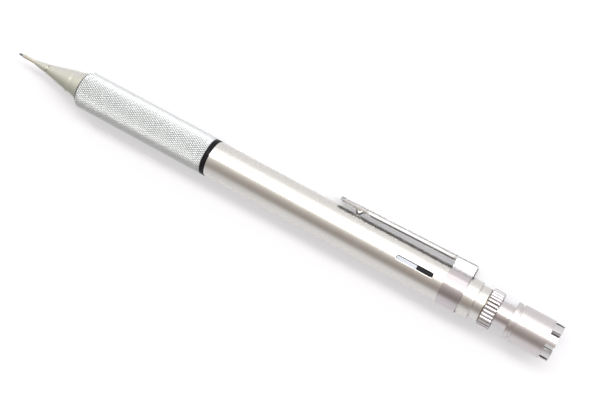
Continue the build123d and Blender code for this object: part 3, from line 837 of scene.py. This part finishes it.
class Clip:
    """The pressed channel arm: an outer and an inner skin that follow one plan outline."""

    def __init__(self):
        low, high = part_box("pocket_clip")
        self.tip = low.x
        self.rear = high.x
        self.verts = []
        self.verts_plan = []
        self.faces = []
        self.stations = self.make_stations()

    def make_stations(self):
        nose = [CLIP_NOSE * share ** NOSE_CROWDING for share in NOSE_SHARES]
        xs = [self.tip + d for d in nose]
        patch_start = DIMPLE_X - DIMPLE_HALF_PATCH
        patch_end = DIMPLE_X + DIMPLE_HALF_PATCH
        xs += evenly(xs[-1], patch_start, FRONT_ROWS)[1:]
        self.patch_row = len(xs) - 1
        xs += evenly(patch_start, patch_end, DIMPLE_COLUMNS)[1:]
        fillet_start = ROOT_X - ROOT_FILLET
        xs += evenly(patch_end, fillet_start, ARM_ROWS)[1:]
        turns = evenly(0, pi / 2, FILLET_ROWS)[1:]
        xs += [fillet_start + ROOT_FILLET * sin(turn) for turn in turns]
        xs += [ROOT_X + 0.02 * MM]
        xs += evenly(xs[-1], self.rear, ROOT_ROWS)[1:]
        return xs

    def top(self, x):
        share = max(0.0, (x - self.tip) / (self.rear - self.tip))
        return CLIP_TIP_TOP + share * (CLIP_TOP - CLIP_TIP_TOP) + CLIP_BOW * 4 * share * (1 - share)

    def foot(self, x):
        """Height of the flange's lower edge."""
        share = min(1.0, max(0.0, (x - self.tip) / CLIP_FLANGE_RISE))
        flange = CLIP_TIP_FLANGE + (CLIP_FLANGE - CLIP_TIP_FLANGE) * sin(pi / 2 * share)
        foot = self.top(x) - flange
        into_root = x - (ROOT_X - ROOT_FILLET)
        if into_root > ROOT_FILLET + 0.01 * MM:
            return ROOT_FOOT
        if into_root > 0:
            foot -= ROOT_FILLET - sqrt(max(0.0, ROOT_FILLET ** 2 - into_root ** 2))
        return foot

    def plan(self, row, column):
        """Plan position of a grid point: row from the tip, column from side to side."""
        x = self.stations[row]
        share = 2 * column / LATERAL - 1
        behind = min(1.0, (x - self.tip) / CLIP_NOSE)
        half = CLIP_HALF_WIDTH - CLIP_NOSE_NARROW * (1 - sqrt(1 - (1 - behind) ** 2))
        return Vector((x + CLIP_NOSE_BULGE * share ** 2 * (1 - behind), half * share))

    def outline(self):
        """The arm's border, from the rear of one side round the nose to the rear of the other."""
        last = len(self.stations) - 1
        cells = [(row, 0) for row in range(last, 0, -1)]
        cells += [(0, column) for column in range(LATERAL + 1)]
        cells += [(row, LATERAL) for row in range(1, last + 1)]
        return cells

    def skin(self, levels, patch_loops, flip):
        """A skin from its border levels, which are (inset, height function), and its dimpled flat."""
        cells = self.outline()
        points = [self.plan(*cell) for cell in cells]
        normals = inward_normals(points)
        rows = []
        for inset, height in levels:
            row = []
            for point, normal in zip(points, normals):
                place = point + normal * inset
                row.append(self.add(place.x, place.y, height(point.x)))
            rows.append(row)
        for first, second in zip(rows, rows[1:]):
            self.faces += oriented(bridge(first, second, closed=False), flip)
        self.flat(cells, rows[-1], levels[-1][1], levels[-1][0], patch_loops, flip)
        return rows

    def flat(self, cells, border, height, inset, patch_loops, flip):
        grid = {cell: vertex for cell, vertex in zip(cells, border)}
        last = len(self.stations) - 1
        for row in range(1, last + 1):
            for column in range(1, LATERAL):
                left = self.verts_plan[grid[(row, 0)]]
                right = self.verts_plan[grid[(row, LATERAL)]]
                share = column / LATERAL
                x = left[0] + (right[0] - left[0]) * share
                behind = min(1.0, (self.stations[row] - self.tip) / CLIP_NOSE)
                x -= CLIP_NOSE_BULGE * (1 - (2 * share - 1) ** 2) * (1 - behind)
                across = left[1] + (right[1] - left[1]) * share
                grid[(row, column)] = self.add(x, across, height(self.stations[row]))
        start, stop = self.patch_row, self.patch_row + DIMPLE_COLUMNS
        for row in range(last):
            for column in range(LATERAL):
                if start <= row < stop and 1 <= column < LATERAL - 1:
                    continue
                corners = ((0, 0), (1, 0), (1, 1), (0, 1))
                quad = tuple(grid[(row + down, column + across)] for down, across in corners)
                self.faces += oriented([quad], flip)
        border = [grid[(start + k, 1)] for k in range(DIMPLE_COLUMNS)]
        border += [grid[(stop, 1 + k)] for k in range(LATERAL - 2)]
        border += [grid[(stop - k, LATERAL - 1)] for k in range(DIMPLE_COLUMNS)]
        border += [grid[(start, LATERAL - 1 - k)] for k in range(LATERAL - 2)]
        self.dimple(border, height(DIMPLE_X), patch_loops, flip)

    def dimple(self, border, top, profile, flip):
        """The funnel, from the flat's border down its (radius, height) profile to the nose."""
        loop = square_loop(DIMPLE_COLUMNS, LATERAL - 2)
        rings = [border]
        for radius, up in profile:
            ring = []
            for point in loop:
                a, b = squircle(point, radius, radius, radius)
                ring.append(self.add(DIMPLE_X + a, b, min(up, top)))
            rings.append(ring)
        for first, second in zip(rings, rings[1:]):
            self.faces += oriented(bridge(first, second), flip)
        self.faces += oriented([tuple(rings[-1])], flip)

    def add(self, x, across, up):
        self.verts.append(clip_point(x, across, up))
        self.verts_plan.append((x, across))
        return len(self.verts) - 1

    def levels(self, side_inset, bend, roof_drop, rim):
        """Border levels of one skin: lower edge, wall, bend and roof."""
        levels = [
            (side_inset + rim[0], self.foot),
            (side_inset + rim[1], lambda x: self.foot(x) + 0.02 * MM),
            (side_inset, lambda x: self.foot(x) + 0.07 * MM),
        ]
        for step in range(BEND_STEPS + 1):
            turn = pi / 2 * step / BEND_STEPS
            inset = side_inset + bend * (1 - cos(turn))
            drop = roof_drop + bend * (1 - sin(turn))
            levels.append((inset, lambda x, drop=drop: self.top(x) - drop))
        return levels

    def build(self):
        outer_levels = self.levels(0, CLIP_BEND, 0, FLANGE_RIM)
        inner_rim = scaled(FLANGE_RIM, -1)
        inner_levels = self.levels(CLIP_SHEET, CLIP_INNER_BEND, CLIP_SHEET, inner_rim)
        outer = self.skin(outer_levels, OUTER_DIMPLE, False)
        inner = self.skin(inner_levels, INNER_DIMPLE, True)
        self.faces += oriented(bridge(outer[0], inner[0], closed=False), True)
        return self.verts, self.faces


def evenly(start, end, count):
    return [start + (end - start) * k / count for k in range(count + 1)]


def oriented(faces, flip):
    return [tuple(reversed(face)) for face in faces] if flip else faces


def inward_normals(points):
    """Unit normals to the left of an open run of plan points."""
    normals = []
    for index in range(len(points)):
        before = points[max(index - 1, 0)]
        after = points[min(index + 1, len(points) - 1)]
        along = (after - before).normalized()
        normals.append(Vector((-along.y, along.x)))
    return normals


def make_clip():
    verts, faces = Clip().build()
    arm = make_piece("clip_arm", verts, faces, CLIP, "holder", ["pocket_clip"], "clip_steel")
    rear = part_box("pocket_clip")[1].x
    barrel_r = reach("barrel")[2]
    outline = [
        (ROOT_X, barrel_r),
        (ROOT_X, BAND_R, BAND_EDGE),
        (rear, BAND_R, BAND_EDGE),
        (rear, barrel_r),
    ]
    band = make_piece("clip_band", *turned(outline), BAND, "holder", ["pocket_clip"], "clip_steel")
    return arm, band


# ---- Dial ----

FLUTES = 30
FLUTE_PHASE = radians(4.8)
FLUTE_DEPTH = 0.28 * MM
FLUTE_HALF_WIDTH = 0.17 * MM
DIAL_CHAMFER = 0.45 * MM
DIAL_BORE_R = 3.40 * MM
LAND_CROWN = 0.15 * MM
CHAMFER_STEPS = 6
LAND_SHARES = (1.0, 0.85, 0.65, 0.45, 0.22, 0.0)


def flute_profile(radius):
    """One period of the dial's rim as (angle, radius), from the middle of a groove to the next."""
    step = 2 * pi / FLUTES
    edge = FLUTE_HALF_WIDTH / radius
    points = [(0, radius - FLUTE_DEPTH), (edge * 0.5, radius - FLUTE_DEPTH * 0.9)]
    for share in LAND_SHARES:
        angle = step / 2 - share * (step / 2 - edge)
        points.append((angle, radius - LAND_CROWN * share ** 2))
    mirrored = [(step - angle, r) for angle, r in reversed(points[1:-1])]
    return points + mirrored


def make_dial():
    front, rear, radius = reach("regulator_dial")
    period = flute_profile(radius)
    step = 2 * pi / FLUTES
    turns = [pi / 2 * k / CHAMFER_STEPS for k in range(CHAMFER_STEPS + 1)]
    limits = [(DIAL_CHAMFER * (1 - sin(t)), radius - DIAL_CHAMFER * (1 - cos(t))) for t in turns]
    sections = sorted((front + inset, limit) for inset, limit in limits)
    sections += sorted((rear - inset, limit) for inset, limit in limits)
    verts = []
    rows = []
    for x, limit in sections:
        row = []
        for flute in range(FLUTES):
            for angle, r in period:
                row.append(len(verts))
                turn = CLIP_ANGLE + FLUTE_PHASE + flute * step + angle
                verts.append(polar(x, min(r, limit), turn))
        rows.append(row)
    for x, r in ((rear, DIAL_BORE_R), (front, DIAL_BORE_R)):
        row = []
        for vertex in rows[0]:
            _, y, z = verts[vertex]
            row.append(len(verts))
            verts.append(polar(x, r, atan2(z, y)))
        rows.append(row)
    faces = []
    for index, row in enumerate(rows):
        faces += bridge(rows[(index + 1) % len(rows)], row)
    return make_piece("dial_wheel", verts, faces, DIAL, "dial", ["regulator_dial"], "dial_metal")


# ---- Push rod and cap ----

CROWN_TEETH = 8
CROWN_SLOT_WIDTH = 1.14 * MM
CROWN_SLOT_PHASE = radians(23.0)
CROWN_R = 4.55 * MM
CROWN_RECESS_R = 3.10 * MM
CROWN_FLOOR_X = 149.4 * MM
PLUG_FLOOR_X = 149.0 * MM
CAP_FLANGE_R = 4.64 * MM
CAP_GROOVE_R = 4.28 * MM
TOOTH_ARC_STEPS = 10
CROWN_EDGE = 0.07 * MM
CROWN_LAP = 0.02 * MM
PLUG_R = 3.60 * MM
PLUG_BORE_R = 2.60 * MM
CAP_BORE_R = 3.09 * MM
CAP_EDGE = 0.14 * MM
GROOVE_X = 141.4 * MM
GROOVE_END_X = 141.9 * MM
ROD_FRONT_R = 2.35 * MM
ROD_BORE_R = 1.45 * MM
ROD_WELL_R = 2.45 * MM
ROD_SHOULDER_X = 134.95 * MM
ROD_WELL_X = 138.0 * MM


def make_push_rod():
    front, rear, radius = reach("push_rod")
    outline = [
        (front, ROD_BORE_R),
        (front, ROD_FRONT_R, EDGE),
        (ROD_SHOULDER_X, ROD_FRONT_R),
        (ROD_SHOULDER_X, radius, EDGE),
        (rear, radius, EDGE),
        (rear, ROD_WELL_R),
        (ROD_WELL_X, ROD_WELL_R),
        (ROD_WELL_X, ROD_BORE_R),
    ]
    return make_piece("push_stem", *turned(outline), TAIL, "plunger", ["push_rod"], "satin_metal")


def make_cap():
    front, rear, radius = reach("cap_body")
    plug_x = reach("cap_crown")[0]
    outline = [
        (front, CAP_BORE_R),
        (front, CAP_FLANGE_R, CAP_EDGE),
        (GROOVE_X, CAP_FLANGE_R, CAP_EDGE),
        (GROOVE_X, CAP_GROOVE_R),
        (GROOVE_END_X, CAP_GROOVE_R),
        (GROOVE_END_X, radius, CAP_EDGE),
        (rear, radius, EDGE),
        (rear, PLUG_R),
        (plug_x, PLUG_R),
        (plug_x, CAP_BORE_R),
    ]
    return make_piece("cap", *turned(outline), TAIL, "cap", ["cap_body"], "satin_metal")


def tooth(first_slot, second_slot, x_start, x_end):
    """Verts and faces of one castellation between two parallel-sided slots."""
    section = []
    for radius, order in ((CROWN_R, 1), (CROWN_RECESS_R, -1)):
        margin = asin(CROWN_SLOT_WIDTH / 2 / radius)
        start, end = first_slot + margin, second_slot - margin
        angles = evenly(start, end, TOOTH_ARC_STEPS)[::order]
        section += [(radius, angle) for angle in angles]
    count = len(section)
    verts = [polar(x, radius, angle) for x in (x_start, x_end) for radius, angle in section]
    faces = [(k, (k + 1) % count, count + (k + 1) % count, count + k) for k in range(count)]
    half = TOOTH_ARC_STEPS + 1
    for k in range(TOOTH_ARC_STEPS):
        faces.append((k + 1, k, count - 1 - k, count - 2 - k))
        faces.append((count + k, count + k + 1, 2 * count - 2 - k, 2 * count - 1 - k))
    return verts, [tuple(reversed(face)) for face in faces]


def make_crown():
    plug_x, tail_x, _ = reach("cap_crown")
    crown_x = reach("cap_body")[1]
    outline = [
        (plug_x, PLUG_BORE_R),
        (plug_x, PLUG_R),
        (crown_x - CROWN_LAP / 2, PLUG_R),
        (crown_x - CROWN_LAP / 2, CROWN_RECESS_R),
        (CROWN_FLOOR_X, CROWN_RECESS_R, SHARP),
        (CROWN_FLOOR_X, 0),
        (PLUG_FLOOR_X, 0),
        (PLUG_FLOOR_X, PLUG_BORE_R),
    ]
    verts, faces = turned(outline)
    for index in range(CROWN_TEETH):
        first = CLIP_ANGLE + CROWN_SLOT_PHASE + index * 2 * pi / CROWN_TEETH
        second = first + 2 * pi / CROWN_TEETH
        more_verts, more_faces = tooth(first, second, crown_x - CROWN_LAP, tail_x)
        offset = len(verts)
        verts += more_verts
        faces += [[v + offset for v in face] for face in more_faces]
    piece = make_piece("crown", verts, faces, CROWN, "cap", ["cap_crown"], "crown_metal")
    soften(piece, CROWN_EDGE, 3)
    return piece


# ---- Studio ----

FLOOR_HALF = 2.5
TABLE_COLOR = (0.43, 0.43, 0.445)
TABLE_GLOW = (0.36, 0.36, 0.37)


def make_floor():
    """A white table with a little light of its own, as a light table has."""
    floor_z = cad_low.z
    mesh = bpy.data.meshes.new("table")
    corners = [(-1, -1), (1, -1), (1, 1), (-1, 1)]
    verts = [(x * FLOOR_HALF, y * FLOOR_HALF, floor_z) for x, y in corners]
    mesh.from_pydata(verts, [], [(0, 1, 2, 3)])
    table = bpy.data.objects.new("table", mesh)
    bpy.context.scene.collection.objects.link(table)
    n = Nodes("table_white")
    grain = n.noise(n.position(), 900.0, 2.0)
    white = n.mixed(n.ranged(grain, 0, 1), TABLE_COLOR, scaled(TABLE_COLOR, 0.99))
    glow = (*TABLE_GLOW, 1)
    material = n.set(Base_Color=white, Roughness=0.6, Emission_Color=glow, Emission_Strength=1.0)
    mesh.materials.append(material)


# Radiance by height round the axis, in degrees from the +Y horizon over the top to the -Y horizon.
SKY = [
    (-180, (1.10, 1.10, 1.14)),
    (-6, (1.00, 0.99, 0.97)),
    (0, (2.00, 1.99, 1.97)),
    (42, (2.00, 1.99, 1.97)),
    (44, (16.0, 15.9, 15.7)),
    (51, (16.0, 15.9, 15.7)),
    (55, (1.60, 1.56, 1.50)),
    (64, (1.18, 1.13, 1.07)),
    (72, (0.90, 0.84, 0.79)),
    (86, (0.66, 0.60, 0.56)),
    (100, (0.52, 0.455, 0.425)),
    (112, (0.43, 0.37, 0.345)),
    (123, (0.47, 0.42, 0.40)),
    (135, (0.76, 0.73, 0.72)),
    (146, (1.06, 1.05, 1.06)),
    (180, (1.16, 1.16, 1.21)),
]
# The same over the -X end, beyond the tip.
END_SKY = [
    (-180, (1.10, 1.09, 1.02)),
    (0, (1.16, 1.14, 1.04)),
    (35, (1.16, 1.14, 1.04)),
    (66, (0.99, 0.975, 0.88)),
    (104, (0.74, 0.73, 0.66)),
    (138, (0.50, 0.495, 0.45)),
    (180, (0.44, 0.44, 0.42)),
]
SKY_TOP = 16.0
END_FROM = 0.28
END_TO = 0.46


def make_ramp(tree, angle, stops):
    """A smooth world colour by height round the axis."""
    share = tree.nodes.new("ShaderNodeMapRange")
    share.inputs["From Min"].default_value = -pi
    share.inputs["From Max"].default_value = pi
    tree.links.new(angle, share.inputs["Value"])
    ramp = tree.nodes.new("ShaderNodeValToRGB")
    tree.links.new(share.outputs[0], ramp.inputs[0])
    elements = ramp.color_ramp.elements
    while len(elements) < len(stops):
        elements.new(0.5)
    for element, (height, color) in zip(elements, stops):
        element.position = (height + 180) / 360
        element.color = (*scaled(color, 1 / SKY_TOP), 1)
    return ramp.outputs[0]


def make_studio():
    """Soft light all round: a bright window over +Y, a darker ceiling, and pale walls over -Y and -X."""
    world = bpy.data.worlds.new("studio")
    bpy.context.scene.world = world
    world.use_nodes = True
    tree = world.node_tree
    direction = tree.nodes.new("ShaderNodeTexCoord").outputs["Generated"]
    parts = tree.nodes.new("ShaderNodeSeparateXYZ")
    tree.links.new(direction, parts.inputs[0])
    angle = tree.nodes.new("ShaderNodeMath")
    angle.operation = "ARCTAN2"
    tree.links.new(parts.outputs["Z"], angle.inputs[0])
    tree.links.new(parts.outputs["Y"], angle.inputs[1])
    end = tree.nodes.new("ShaderNodeMapRange")
    end.interpolation_type = "SMOOTHSTEP"
    end.inputs["From Min"].default_value = -END_FROM
    end.inputs["From Max"].default_value = -END_TO
    tree.links.new(parts.outputs["X"], end.inputs["Value"])
    mix = tree.nodes.new("ShaderNodeMix")
    mix.data_type = "RGBA"
    tree.links.new(end.outputs[0], mix.inputs[0])
    tree.links.new(make_ramp(tree, angle.outputs[0], SKY), mix.inputs[6])
    tree.links.new(make_ramp(tree, angle.outputs[0], END_SKY), mix.inputs[7])
    background = tree.nodes["Background"]
    tree.links.new(mix.outputs[2], background.inputs["Color"])
    background.inputs["Strength"].default_value = SKY_TOP


CAMERA_TURN = radians(94.5)
CAMERA_LEAN = radians(13.4)
CAMERA_ROLL = radians(28.39)
CAMERA_DISTANCE = 0.2709
CAMERA_LENS = 67.2
TARGET_X = 83.08 * MM
TARGET_SIDE = 1.19 * MM


def make_camera():
    """Looks down at the holder from over its window side, with the tip at the upper left."""
    facing = CLIP_ANGLE + CAMERA_TURN
    lean = CAMERA_LEAN
    roll = CAMERA_ROLL
    along = Vector((1, 0, 0))
    towards = Vector((0, cos(facing), sin(facing)))
    clip_side = Vector((0, cos(facing - pi / 2), sin(facing - pi / 2)))
    target = Vector((TARGET_X, 0, 0)) + clip_side * TARGET_SIDE
    view = -(towards * cos(lean) + along * sin(lean))
    level = (along - view * along.dot(view)).normalized()
    upright = (-view).cross(level)
    right = level * cos(roll) + upright * sin(roll)
    up = upright * cos(roll) - level * sin(roll)
    camera_data = bpy.data.cameras.new("camera")
    camera_data.sensor_width = 36
    camera_data.lens = CAMERA_LENS
    camera_data.clip_start = 0.01
    camera = bpy.data.objects.new("camera", camera_data)
    bpy.context.scene.collection.objects.link(camera)
    rotation = Matrix((right, up, -view)).transposed()
    camera.matrix_world = Matrix.Translation(target - view * CAMERA_DISTANCE) @ rotation.to_4x4()
    bpy.context.scene.camera = camera


dress_cad_nodes()
make_lead()
make_sleeve()
make_tip()
make_cone()
make_grip()
make_joint_ring()
make_barrel()
make_collar()
make_neck()
make_clip()
make_dial()
make_push_rod()
make_cap()
make_crown()
make_floor()
make_studio()
make_camera()
bpy.context.scene.view_settings.view_transform = "Standard"
